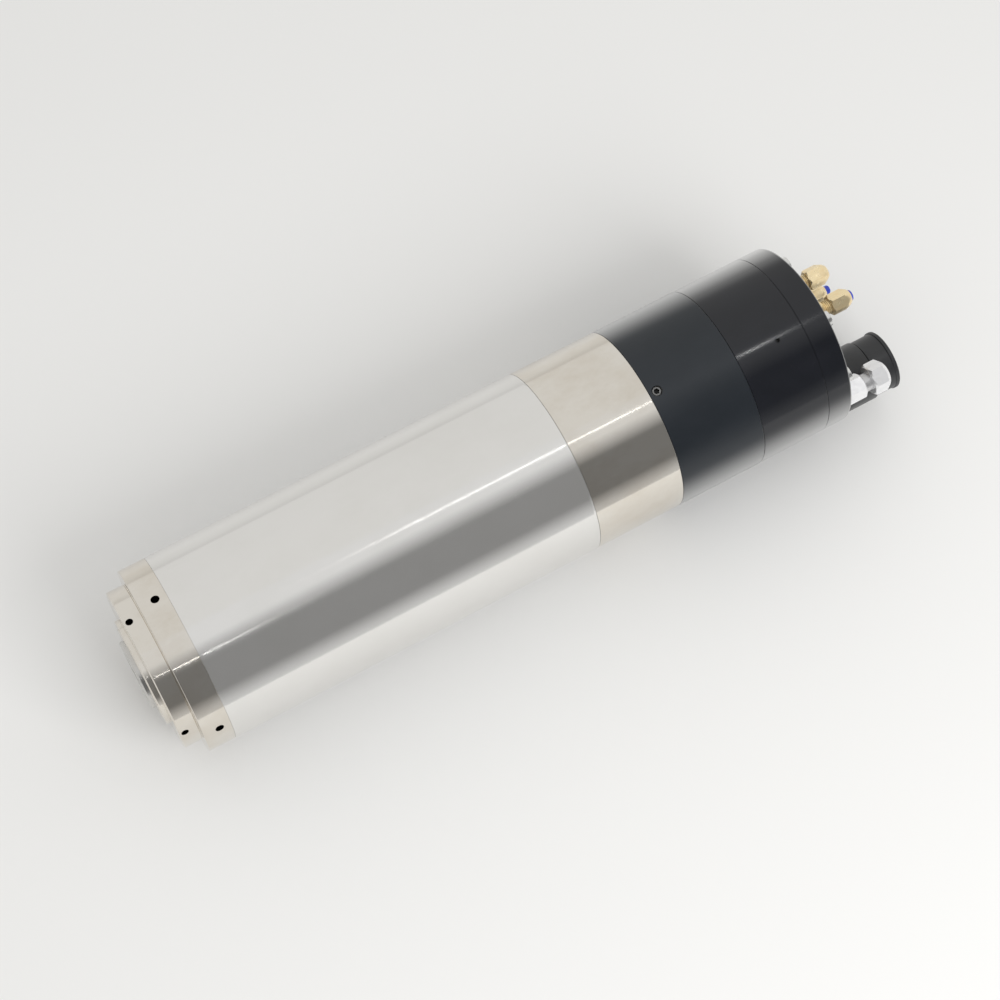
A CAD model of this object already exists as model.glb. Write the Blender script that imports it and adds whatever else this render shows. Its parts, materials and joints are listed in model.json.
import json
import logging
import math
from collections.abc import Callable, Sequence
from dataclasses import dataclass, field
from enum import Enum
from functools import cached_property

import bmesh
import bpy
import numpy as np
from mathutils import Matrix, Vector

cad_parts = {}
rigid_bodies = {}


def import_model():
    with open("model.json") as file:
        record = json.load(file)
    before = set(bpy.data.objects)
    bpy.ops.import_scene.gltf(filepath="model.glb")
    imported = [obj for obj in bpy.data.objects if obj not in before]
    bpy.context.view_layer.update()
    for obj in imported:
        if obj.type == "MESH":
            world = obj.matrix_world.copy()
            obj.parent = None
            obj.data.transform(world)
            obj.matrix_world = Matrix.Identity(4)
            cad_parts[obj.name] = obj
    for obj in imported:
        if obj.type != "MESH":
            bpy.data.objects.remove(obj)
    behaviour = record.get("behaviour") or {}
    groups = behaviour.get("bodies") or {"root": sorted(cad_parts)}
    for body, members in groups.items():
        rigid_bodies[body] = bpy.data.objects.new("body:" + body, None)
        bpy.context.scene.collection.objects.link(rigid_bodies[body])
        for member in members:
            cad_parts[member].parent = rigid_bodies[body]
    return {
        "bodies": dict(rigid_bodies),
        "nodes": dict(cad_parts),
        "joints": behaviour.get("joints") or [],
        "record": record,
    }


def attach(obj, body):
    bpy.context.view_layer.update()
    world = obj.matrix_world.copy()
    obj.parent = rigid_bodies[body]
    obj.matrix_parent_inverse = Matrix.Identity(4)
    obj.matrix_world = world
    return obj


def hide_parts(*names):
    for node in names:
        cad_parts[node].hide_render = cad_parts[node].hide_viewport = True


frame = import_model()

log = logging.getLogger("motor_spindle")

Mesh = bpy.types.Mesh
Socket = bpy.types.NodeSocket
Pair = tuple[float, float]
Place = tuple[float, float, float]
Colour = tuple[float, float, float]
Scale = tuple[float, float, float]

MM = 0.001
FULL_TURN = 2.0 * math.pi
TINY = 1e-6
SMOOTH_LIMIT = math.radians(28.0)
TURNED_SIDES = 256
SHADE = "shade"

# Sizes that neighbours share, in millimetres: stations along X, and radii round it.
SLEEVE_X = 29.5
REAR_RING_X = 236.0
CYLINDER_X = 284.6
SERVICES_X = 332.9
CAP_X = 371.5
FACE_X = 385.7
RING_R = 49.85
SPIGOT_R = 38.0
FIT = 0.02
SEAM = 0.14


class Body(Enum):
    """Moving bodies that the pieces ride on."""

    HOUSING = "housing"
    SHAFT = "shaft"
    DUST_CAP = "dust_cap"


class Slot(Enum):
    """Material slots of the part's record."""

    GROUND_STEEL = "ground_steel"
    POLISHED_STEEL = "polished_steel"
    SHAFT_STEEL = "shaft_steel"
    BEARING_STEEL = "bearing_steel"
    CAGE_RESIN = "cage_resin"
    SPRING_STEEL = "spring_steel"
    JACKET_ALUMINIUM = "jacket_aluminium"
    LAMINATION = "lamination"
    COPPER = "copper"
    RUBBER = "rubber"
    BLACK_BARREL = "black_barrel"
    BLACK_GLOSS = "black_gloss"
    SCREW_STEEL = "screw_steel"
    BRASS = "brass"
    BLUE_PLUG = "blue_plug"
    NICKEL = "nickel"
    CONNECTOR_BLACK = "connector_black"
    CONNECTOR_RESIN = "connector_resin"
    PIN_GOLD = "pin_gold"


# --------------------------------------------------------------------- shapes
@dataclass(frozen=True)
class Corner:
    """A corner of a turned outline, in millimetres, and how far it is eased."""

    x: float
    r: float
    soft: float = 0.0


@dataclass
class Outline:
    """Closed outline that is turned about an axis, with its corners eased.

    An eased corner takes at most longest_ease of each straight run beside it. starts and ends
    hold the surface's direction at both ends of the run that follows each point.
    """

    corners: Sequence[Corner]
    steps: int = 4
    longest_ease: float = 0.45
    points: list[Pair] = field(default_factory=list)
    starts: list[Pair] = field(default_factory=list)
    ends: list[Pair] = field(default_factory=list)

    def __post_init__(self) -> None:
        """Ease the corners and work out the surface's direction at each point."""
        sign = self._sign()
        count = len(self.corners)
        smooth: list[Pair | None] = []
        for i, corner in enumerate(self.corners):
            after = self.corners[(i + 1) % count]
            for point, normal in self._eased(self.corners[i - 1], corner, after, sign):
                self.points.append(point)
                smooth.append(normal)
        total = len(self.points)
        for i, point in enumerate(self.points):
            following = (i + 1) % total
            flat = self._facing(point, self.points[following], sign)
            self.starts.append(smooth[i] or flat)
            self.ends.append(smooth[following] or flat)

    def _sign(self) -> float:
        """Which way round the outline runs, 1 or -1."""
        area = 0.0
        for i, corner in enumerate(self.corners):
            after = self.corners[(i + 1) % len(self.corners)]
            area += corner.x * after.r - after.x * corner.r
        return 1.0 if area > 0.0 else -1.0

    @staticmethod
    def _facing(a: Pair, b: Pair, sign: float) -> Pair:
        """Outward direction of a straight run.

        Args:
            a: where the run starts.
            b: where it ends.
            sign: which way round the outline runs.

        Returns:
            The direction, one long.
        """
        dx, dr = b[0] - a[0], b[1] - a[1]
        length = math.hypot(dx, dr) or 1.0
        return (sign * dr / length, -sign * dx / length)

    def _eased(
        self, before: Corner, corner: Corner, after: Corner, sign: float
    ) -> list[tuple[Pair, Pair | None]]:
        """Points that replace one corner.

        Args:
            before: the corner ahead of it along the outline.
            corner: the corner itself.
            after: the corner that follows it.
            sign: which way round the outline runs.

        Returns:
            Each point with the surface's direction there, or None where the corner is sharp.
        """
        here = Vector((corner.x, corner.r))
        back = Vector((before.x, before.r)) - here
        ahead = Vector((after.x, after.r)) - here
        if corner.soft <= 0.0 or back.length < TINY or ahead.length < TINY:
            return [((corner.x, corner.r), None)]
        half = back.angle(ahead) / 2.0
        reach = corner.soft / math.tan(half)
        reach = min(reach, self.longest_ease * back.length, self.longest_ease * ahead.length)
        radius = reach * math.tan(half)
        first = here + back.normalized() * reach
        last = here + ahead.normalized() * reach
        inward = (back.normalized() + ahead.normalized()).normalized()
        middle = here + inward * math.hypot(reach, radius)
        start_n = self._facing((before.x, before.r), (corner.x, corner.r), sign)
        end_n = self._facing((corner.x, corner.r), (after.x, after.r), sign)
        result = []
        for k in range(self.steps + 1):
            share = k / self.steps
            spoke = (first - middle).lerp(last - middle, share).normalized() * radius
            nx = start_n[0] + (end_n[0] - start_n[0]) * share
            nr = start_n[1] + (end_n[1] - start_n[1]) * share
            length = math.hypot(nx, nr) or 1.0
            point = middle + spoke
            result.append(((point.x, point.y), (nx / length, nr / length)))
        return result


def mark_shade(mesh: Mesh, shares: np.ndarray) -> None:
    """Store how far each face lies in a hole or socket, 0 to 1, for the finishes to read."""
    layer = mesh.attributes.get(SHADE) or mesh.attributes.new(SHADE, "FLOAT", "FACE")
    layer.data.foreach_set("value", shares.astype(np.float32))


def set_outline_normals(mesh: Mesh, outline: Outline, touch: float = 0.02) -> None:
    """Give every face that lies on a turned outline the true surface direction.

    The other faces, those of its holes, are marked as shaded.

    Args:
        mesh: a mesh turned about X, in metres, holes and all.
        outline: the outline that it was turned from.
        touch: how near to the outline a face lies on it, in millimetres.
    """
    count = len(mesh.loops)
    vertex_of = np.empty(count, np.int64)
    mesh.loops.foreach_get("vertex_index", vertex_of)
    places = np.empty(len(mesh.vertices) * 3)
    mesh.vertices.foreach_get("co", places)
    places = places.reshape(-1, 3)[vertex_of] / MM
    x = places[:, 0]
    r = np.hypot(places[:, 1], places[:, 2])
    a = np.array(outline.points)
    run = np.roll(a, -1, axis=0) - a
    length2 = np.maximum((run**2).sum(1), 1e-12)
    share = ((x[:, None] - a[:, 0]) * run[:, 0] + (r[:, None] - a[:, 1]) * run[:, 1]) / length2
    share = np.clip(share, 0.0, 1.0)
    off_x = x[:, None] - a[:, 0] - share * run[:, 0]
    off_r = r[:, None] - a[:, 1] - share * run[:, 1]
    first = np.empty(len(mesh.polygons), np.int64)
    size = np.empty(len(mesh.polygons), np.int64)
    mesh.polygons.foreach_get("loop_start", first)
    mesh.polygons.foreach_get("loop_total", size)
    worst = np.maximum.reduceat(np.hypot(off_x, off_r), first, axis=0)
    near = worst.min(axis=1) < touch
    which = np.repeat(worst.argmin(axis=1), size)
    t = share[np.arange(count), which][:, None]
    flat = np.array(outline.starts)[which] * (1.0 - t) + np.array(outline.ends)[which] * t
    flat /= np.maximum(np.hypot(flat[:, 0], flat[:, 1]), 1e-9)[:, None]
    turn = np.arctan2(places[:, 2], places[:, 1])
    normals = np.stack([flat[:, 0], flat[:, 1] * np.cos(turn), flat[:, 1] * np.sin(turn)], axis=1)
    normals[~np.repeat(near, size)] = 0.0
    mesh.normals_split_custom_set(normals.tolist())
    mark_shade(mesh, 1.0 - near)


def new_object(name: str, data: bpy.types.ID) -> bpy.types.Object:
    """Link a mesh, lamp or camera into the scene.

    Args:
        name: the object's name.
        data: what it shows.

    Returns:
        The new object.
    """
    obj = bpy.data.objects.new(name, data)
    bpy.context.scene.collection.objects.link(obj)
    return obj


def grid_mesh(name: str, rows: Sequence[Sequence[Place]], shades: Sequence[float] = ()) -> Mesh:
    """Join closed rows of points into a closed skin.

    Args:
        name: the mesh's name.
        rows: rings of points in millimetres; a row whose points all meet becomes a pole.
        shades: how far the faces behind each row lie in a socket.

    Returns:
        The mesh in metres, its faces turned outwards.
    """
    skin = bmesh.new()
    face_shades = []
    rings = []
    for row in rows:
        if max(math.dist(row[0], point) for point in row) < TINY:
            pole = skin.verts.new(Vector(row[0]) * MM)
            rings.append([pole] * len(row))
        else:
            rings.append([skin.verts.new(Vector(point) * MM) for point in row])
    for i, ring in enumerate(rings):
        following = rings[(i + 1) % len(rings)]
        for j in range(len(ring)):
            k = (j + 1) % len(ring)
            unique = list(dict.fromkeys([ring[j], ring[k], following[k], following[j]]))
            if len(unique) >= 3:
                skin.faces.new(unique)
                face_shades.append(shades[i] if shades else 0.0)
    bmesh.ops.recalc_face_normals(skin, faces=skin.faces)
    mesh = bpy.data.meshes.new(name)
    skin.to_mesh(mesh)
    skin.free()
    mesh.shade_smooth()
    if shades:
        mark_shade(mesh, np.array(face_shades))
    return mesh


def turned_mesh(name: str, outline: Outline) -> Mesh:
    """Turn a closed outline about X.

    Args:
        name: the mesh's name.
        outline: what to turn.

    Returns:
        The mesh in metres.
    """
    turns = [FULL_TURN * j / TURNED_SIDES for j in range(TURNED_SIDES)]
    rows = []
    for x, r in outline.points:
        rows.append([(x, r * math.cos(turn), r * math.sin(turn)) for turn in turns])
    return grid_mesh(name, rows)


@dataclass(frozen=True)
class Ring:
    """One ring of a stepped bar: round, or hexagonal with its flats r from the axis.

    A slope makes a hexagon's ring follow a cone, so that its flats end in arcs. Teeth run round
    the ring, and shade says how far the faces behind it lie in a socket.
    """

    x: float
    r: float
    flats: bool = False
    slope: float = 0.0
    teeth: int = 0
    tooth: float = 0.0
    shade: float = 0.0

    def place(self, turn: float) -> Pair:
        """Where the ring runs.

        Args:
            turn: angle round the bar.

        Returns:
            Station and radius there.
        """
        if self.teeth:
            wave = abs(((turn * self.teeth / FULL_TURN) % 1.0) * 2.0 - 1.0)
            return self.x, self.r - self.tooth * wave
        if not self.flats:
            return self.x, self.r
        sixth = math.radians(60.0)
        off = (turn % sixth) - sixth / 2.0
        radius = self.r / math.cos(off)
        return self.x + self.slope * (radius - self.r), radius


def hexed(x: float, r: float, slope: float = 0.0, shade: float = 0.0) -> Ring:
    """Hexagonal ring whose flats stand r from the axis."""
    return Ring(x, r, flats=True, slope=slope, shade=shade)


def bar_mesh(name: str, rings: Sequence[Ring], sides: int, place: Matrix) -> Mesh:
    """Skin a closed run of rings about X, and move it to its place.

    Args:
        name: the mesh's name.
        rings: the rings, in millimetres.
        sides: how many sides the bar has.
        place: where the rings' axis goes, in metres.

    Returns:
        The mesh in metres.
    """
    rows = []
    for ring in rings:
        row = []
        for j in range(sides):
            turn = FULL_TURN * j / sides
            x, r = ring.place(turn)
            row.append((x, r * math.cos(turn), r * math.sin(turn)))
        rows.append(row)
    mesh = grid_mesh(name, rows, [ring.shade for ring in rings])
    mesh.set_sharp_from_angle(angle=SMOOTH_LIMIT)
    mesh.transform(place)
    return mesh


def radial(x: float, angle: float, radius: float) -> Matrix:
    """Frame on the body's surface, in metres, whose X points out along the radius.

    Args:
        x: station along the spindle in millimetres.
        angle: degrees from +Y towards +Z.
        radius: distance from the axis in millimetres.

    Returns:
        The frame.
    """
    out = Vector((0.0, math.cos(math.radians(angle)), math.sin(math.radians(angle))))
    along = Vector((1.0, 0.0, 0.0))
    side = out.cross(along)
    turn = Matrix((out, along, side)).transposed().to_4x4()
    place = Vector((x, radius * out.y, radius * out.z)) * MM
    return Matrix.Translation(place) @ turn


def spaced(x: float, angle: float, radius: float, count: int) -> list[Matrix]:
    """Frames spaced evenly round the body's surface, the first at an angle."""
    return [radial(x, angle + 360.0 / count * i, radius) for i in range(count)]


def beside(y: float, z: float, roll: float = 0.0) -> Matrix:
    """Place of a bar whose axis runs along X at (y, z), rolled by some degrees."""
    place = Matrix.Translation(Vector((0.0, y, z)) * MM)
    return place @ Matrix.Rotation(math.radians(roll), 4, "X")


def joined(name: str, meshes: Sequence[Mesh]) -> Mesh:
    """Put meshes into one, keeping their split directions.

    Args:
        name: the new mesh's name.
        meshes: one or more meshes, which are used up.

    Returns:
        The one mesh.
    """
    parts = [new_object(f"{name}.{i}", mesh) for i, mesh in enumerate(meshes)]
    if len(parts) > 1:
        with bpy.context.temp_override(
            active_object=parts[0], selected_editable_objects=parts, selected_objects=parts
        ):
            bpy.ops.object.join()
    mesh = parts[0].data
    mesh.name = name
    bpy.data.objects.remove(parts[0])
    return mesh


def drilled(mesh: Mesh, cutters: Sequence[Mesh]) -> Mesh:
    """Cut tools out of a mesh.

    Args:
        mesh: the piece.
        cutters: closed tools that don't meet each other.

    Returns:
        The cut mesh; the ones it came from are gone.
    """
    piece = new_object("piece", mesh)
    tool = new_object("tool", joined("tool", cutters))
    cut = piece.modifiers.new("cut", "BOOLEAN")
    cut.operation = "DIFFERENCE"
    cut.solver = "EXACT"
    cut.object = tool
    bpy.context.view_layer.update()
    graph = bpy.context.evaluated_depsgraph_get()
    result = bpy.data.meshes.new_from_object(piece.evaluated_get(graph), depsgraph=graph)
    name = mesh.name
    bpy.data.objects.remove(piece)
    bpy.data.objects.remove(tool)
    bpy.data.meshes.remove(mesh)
    result.name = name
    return result


@dataclass(frozen=True)
class Drill:
    """Round drill with a small countersink; its point is tip times its radius long."""

    radius: float
    depth: float
    ease: float = 0.25
    tip: float = 0.6
    over: float = 1.0
    sides: int = 40

    def tools(self, places: Sequence[Matrix]) -> list[Mesh]:
        """Make tools to cut holes with.

        Args:
            places: frames whose X points out of the hole, from its mouth.

        Returns:
            A tool for each place.
        """
        rings = [
            Ring(-self.depth - self.radius * self.tip, 0.0),
            Ring(-self.depth, self.radius),
            Ring(-self.ease, self.radius),
            Ring(self.over, self.radius + self.ease + self.over),
            Ring(self.over, 0.0),
        ]
        return [bar_mesh("drill", rings, self.sides, place) for place in places]


# ------------------------------------------------------------------- finishes
class Board:
    """Node tree of one material, with short ways to add and join nodes."""

    def __init__(self, name: str, surface: str = "BsdfPrincipled") -> None:
        """Start a material with a lone shader.

        Args:
            name: the material's name.
            surface: the shader node's type, without its prefix.
        """
        self.material = bpy.data.materials.new(name)
        self.material.use_nodes = True
        self.tree = self.material.node_tree
        self.tree.nodes.clear()
        self.shader = self.add(surface)
        self.add("OutputMaterial", Surface=self.shader.outputs[0])

    @cached_property
    def place(self) -> Socket:
        """The object's own coordinates."""
        return self.add("TexCoord").outputs["Object"]

    def feed(self, target: Socket, value: Socket | float | tuple[float, ...]) -> None:
        """Join a socket to another, or give it a value of its own.

        Args:
            target: the socket to feed.
            value: another socket, a number or a colour.
        """
        if isinstance(value, Socket):
            self.tree.links.new(value, target)
        else:
            target.default_value = value

    def add(self, kind: str, **values: Socket | float | tuple[float, ...]) -> bpy.types.Node:
        """Add a node and feed its sockets.

        Args:
            kind: the node's type, without its prefix.
            **values: what goes into its sockets; underscores in the names stand for spaces.

        Returns:
            The node.
        """
        node = self.tree.nodes.new(f"ShaderNode{kind}")
        for name, value in values.items():
            self.feed(node.inputs[name.replace("_", " ")], value)
        return node

    def set(self, **values: Socket | float | tuple[float, ...]) -> None:
        """Feed the shader's own sockets; underscores in their names stand for spaces."""
        for name, value in values.items():
            self.feed(self.shader.inputs[name.replace("_", " ")], value)

    def noise(self, scale: Scale, detail: float = 3.0, rough: float = 0.55) -> Socket:
        """Cloudy noise in stretched coordinates.

        Args:
            scale: how many clouds there are to a metre along each axis.
            detail: how many finer layers it has.
            rough: how much the finer layers show.

        Returns:
            The noise, 0 to 1.
        """
        stretched = self.add("Mapping", Vector=self.place, Scale=scale).outputs["Vector"]
        node = self.add("TexNoise", Vector=stretched, Scale=1.0, Detail=detail, Roughness=rough)
        return node.outputs["Fac"]

    def ranged(self, value: Socket, low: float, high: float, start: float, end: float) -> Socket:
        """Stretch a value from one range to another, held at both ends.

        Args:
            value: the value.
            low: where its range starts.
            high: where its range ends.
            start: what low becomes.
            end: what high becomes.

        Returns:
            The stretched value.
        """
        node = self.add(
            "MapRange", Value=value, From_Min=low, From_Max=high, To_Min=start, To_Max=end
        )
        return node.outputs["Result"]

    def tinted(self, share: Socket, first: Socket | Colour, second: Socket | Colour) -> Socket:
        """Blend from one colour to another.

        Args:
            share: 0 for the first and 1 for the second.
            first: a colour, or a socket that carries one.
            second: the same.

        Returns:
            The blended colour.
        """
        node = self.add("Mix")
        node.data_type = "RGBA"
        self.feed(node.inputs[0], share)
        for target, colour in ((node.inputs[6], first), (node.inputs[7], second)):
            self.feed(target, (*colour, 1.0) if isinstance(colour, tuple) else colour)
        return node.outputs[2]

    def mixed(self, kind: str, a: Socket, b: Socket | float) -> Socket:
        """Combine two values.

        Args:
            kind: an operation of the Math node.
            a: the first value.
            b: the second, or a number.

        Returns:
            The result.
        """
        node = self.add("Math")
        node.operation = kind
        self.feed(node.inputs[0], a)
        self.feed(node.inputs[1], b)
        return node.outputs[0]

    def ramp(self, share: Socket, stops: Sequence[tuple[float, Colour]]) -> Socket:
        """Colour ramp.

        Args:
            share: the place on the ramp, 0 to 1.
            stops: the places of its colours, and the colours.

        Returns:
            The colour at the share.
        """
        node = self.add("ValToRGB", Fac=share)
        elements = node.color_ramp.elements
        elements.remove(elements[-1])
        for i, (position, tone) in enumerate(stops):
            stop = elements[0] if i == 0 else elements.new(position)
            stop.position = position
            stop.color = (*tone, 1.0)
        return node.outputs["Color"]

    def paint(self, tone: Socket, hole: Colour | None = None) -> None:
        """Colour the surface.

        Args:
            tone: its colour.
            hole: the colour of its holes and sockets, where they have their own.
        """
        if hole is not None:
            depth = self.add("Attribute")
            depth.attribute_name = SHADE
            tone = self.tinted(depth.outputs["Fac"], tone, hole)
        self.set(Base_Color=tone)

    def polish(self, wear: Socket, low: float, high: float) -> None:
        """Spread the roughness from low to high by a noise."""
        self.set(Roughness=self.ranged(wear, 0.3, 0.7, low, high))

    def bump(self, height: Socket, depth: float) -> None:
        """Raise the surface by a height, its full range being a depth in metres."""
        node = self.add("Bump", Strength=1.0, Distance=depth, Height=height)
        self.set(Normal=node.outputs["Normal"])

    def lay_round_axis(self) -> None:
        """Lay the surface's grain round the spindle's axis, so that light spreads along it."""
        node = self.add("Tangent")
        node.direction_type = "RADIAL"
        node.axis = "X"
        self.set(Tangent=node.outputs["Tangent"], Anisotropic_Rotation=0.25)


@dataclass(frozen=True)
class TurnedMetal:
    """Bare metal that was turned or ground, with fine lines round the axis and faint clouds."""

    colour: Colour
    stain: Colour
    roughness: float
    spread: float = 0.05
    grain: float = 0.5
    line_depth: float = 1.6e-07
    cloud_share: float = 0.35
    metallic: float = 1.0
    hole: Colour = (0.012, 0.011, 0.010)
    line_scale: Scale = (900.0, 9.0, 9.0)
    band_scale: Scale = (420.0, 5.0, 5.0)
    cloud_scale: Scale = (26.0, 38.0, 38.0)
    cloud_wear: float = 0.6
    band_wear: float = 0.4

    def make(self, name: str) -> bpy.types.Material:
        """Build the material.

        Args:
            name: what to call it.

        Returns:
            The material.
        """
        board = Board(name)
        lines = board.noise(self.line_scale, detail=2.0, rough=0.5)
        bands = board.noise(self.band_scale, detail=2.0)
        clouds = board.noise(self.cloud_scale, detail=5.0, rough=0.62)
        share = board.ranged(clouds, 0.42, 0.68, 0.0, self.cloud_share)
        board.paint(board.tinted(share, self.colour, self.stain), self.hole)
        cloudy = board.mixed("MULTIPLY", clouds, self.cloud_wear)
        banded = board.mixed("MULTIPLY", bands, self.band_wear)
        wear = board.mixed("ADD", cloudy, banded)
        board.polish(wear, self.roughness - self.spread, self.roughness + self.spread)
        board.bump(lines, self.line_depth)
        board.set(Metallic=self.metallic, Anisotropic=self.grain)
        board.lay_round_axis()
        return board.material


@dataclass(frozen=True)
class Anodised:
    """Black anodised aluminium with turned lines under the film and a little dust."""

    colour: Colour
    dust: Colour
    roughness: float
    edge_gloss: float = 6.0
    hole: Colour = (0.002, 0.002, 0.002)
    mote: Colour = (0.12, 0.12, 0.13)
    mote_scale: float = 420.0
    line_scale: Scale = (3600.0, 20.0, 20.0)
    line_depth: float = 5e-7
    cloud_scale: Scale = (30.0, 42.0, 42.0)

    def make(self, name: str) -> bpy.types.Material:
        """Build the material.

        Args:
            name: what to call it.

        Returns:
            The material.
        """
        board = Board(name)
        clouds = board.noise(self.cloud_scale, detail=5.0, rough=0.6)
        lines = board.noise(self.line_scale, detail=2.0)
        motes = board.add("TexVoronoi", Vector=board.place, Scale=self.mote_scale)
        tone = board.tinted(board.ranged(clouds, 0.35, 0.7, 0.0, 1.0), self.colour, self.dust)
        spot = board.ranged(motes.outputs["Distance"], 0.05, 0.09, 0.10, 0.0)
        board.paint(board.tinted(spot, tone, self.mote), self.hole)
        board.polish(clouds, self.roughness - 0.04, self.roughness + 0.05)
        board.set(IOR=self._edge(board), Coat_Weight=1.0, Coat_Roughness=self.roughness)
        board.bump(lines, self.line_depth)
        return board.material

    def _edge(self, board: Board) -> Socket:
        """Refraction index that rises where the surface is seen edge on.

        Args:
            board: the material's nodes.

        Returns:
            The index.
        """
        facing = board.add("LayerWeight", Blend=0.5).outputs["Facing"]
        edge = board.ranged(facing, 0.33, 0.80, 0.0, 1.0)
        rise = board.mixed("MULTIPLY", board.mixed("MULTIPLY", edge, edge), self.edge_gloss)
        return board.mixed("ADD", rise, 1.0)


@dataclass(frozen=True)
class Moulded:
    """Moulded plastic or rubber with a fine skin texture."""

    colour: Colour
    dust: Colour
    roughness: float
    skin_scale: float = 1500.0
    skin_depth: float = 1.2e-5
    light_through: float = 0.0
    light_depth: float = 0.001
    cloud_scale: float = 90.0

    def make(self, name: str) -> bpy.types.Material:
        """Build the material.

        Args:
            name: what to call it.

        Returns:
            The material.
        """
        board = Board(name)
        skin = board.noise((self.skin_scale,) * 3, detail=2.0)
        clouds = board.noise((self.cloud_scale,) * 3, detail=4.0)
        share = board.ranged(clouds, 0.4, 0.7, 0.0, 0.6)
        board.paint(board.tinted(share, self.colour, self.dust))
        board.polish(clouds, self.roughness - 0.06, self.roughness + 0.06)
        board.bump(skin, self.skin_depth)
        if self.light_through > 0.0:
            board.set(Subsurface_Weight=self.light_through, Subsurface_Scale=self.light_depth)
        return board.material


@dataclass(frozen=True)
class SmallMetal:
    """Metal of screws, nuts and fittings: bar stock, plated or bare, with handling marks."""

    colour: Colour
    mark: Colour
    roughness: float
    mark_scale: float = 420.0
    hole: Colour = (0.02, 0.02, 0.02)
    metallic: float = 1.0
    line_depth: float = 4e-7

    def make(self, name: str) -> bpy.types.Material:
        """Build the material.

        Args:
            name: what to call it.

        Returns:
            The material.
        """
        board = Board(name)
        clouds = board.noise((self.mark_scale,) * 3, detail=4.0, rough=0.6)
        lines = board.noise((self.mark_scale * 10.0, 160.0, 160.0), detail=2.0)
        share = board.ranged(clouds, 0.42, 0.72, 0.0, 0.7)
        board.paint(board.tinted(share, self.colour, self.mark), self.hole)
        board.polish(clouds, self.roughness - 0.05, self.roughness + 0.08)
        board.bump(lines, self.line_depth)
        board.set(Metallic=self.metallic)
        return board.material


@dataclass(frozen=True)
class Sheets:
    """Stack of thin punched sheets: fine stripes across the axis."""

    colour: Colour
    gap: Colour
    roughness: float = 0.45
    metallic: float = 0.9
    stripe_scale: float = 320.0
    stripe_depth: float = 2e-5
    rust_scale: float = 160.0

    def make(self, name: str) -> bpy.types.Material:
        """Build the material.

        Args:
            name: what to call it.

        Returns:
            The material.
        """
        board = Board(name)
        wave = board.add("TexWave", Vector=board.place, Scale=self.stripe_scale, Distortion=0.4)
        wave.bands_direction = "X"
        stripes = wave.outputs["Fac"]
        board.paint(board.tinted(board.ranged(stripes, 0.1, 0.5, 1.0, 0.0), self.colour, self.gap))
        rust = board.noise((self.rust_scale,) * 3, detail=4.0)
        board.polish(rust, self.roughness - 0.08, self.roughness + 0.1)
        board.bump(stripes, self.stripe_depth)
        board.set(Metallic=self.metallic)
        return board.material


@dataclass(frozen=True)
class Windings:
    """Enamelled copper wires laid side by side under varnish."""

    colour: Colour
    varnish: Colour
    metallic: float = 0.7
    coat: float = 0.4
    strand_scale: Scale = (60.0, 1500.0, 1500.0)
    strand_depth: float = 8e-5
    drip_scale: float = 180.0

    def make(self, name: str) -> bpy.types.Material:
        """Build the material.

        Args:
            name: what to call it.

        Returns:
            The material.
        """
        board = Board(name)
        strands = board.noise(self.strand_scale, detail=1.0)
        drips = board.noise((self.drip_scale,) * 3, detail=4.0)
        share = board.ranged(strands, 0.35, 0.65, 0.0, 1.0)
        board.paint(board.tinted(share, self.colour, self.varnish))
        board.polish(drips, 0.28, 0.5)
        board.bump(strands, self.strand_depth)
        board.set(Metallic=self.metallic, Coat_Weight=self.coat)
        return board.material


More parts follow.
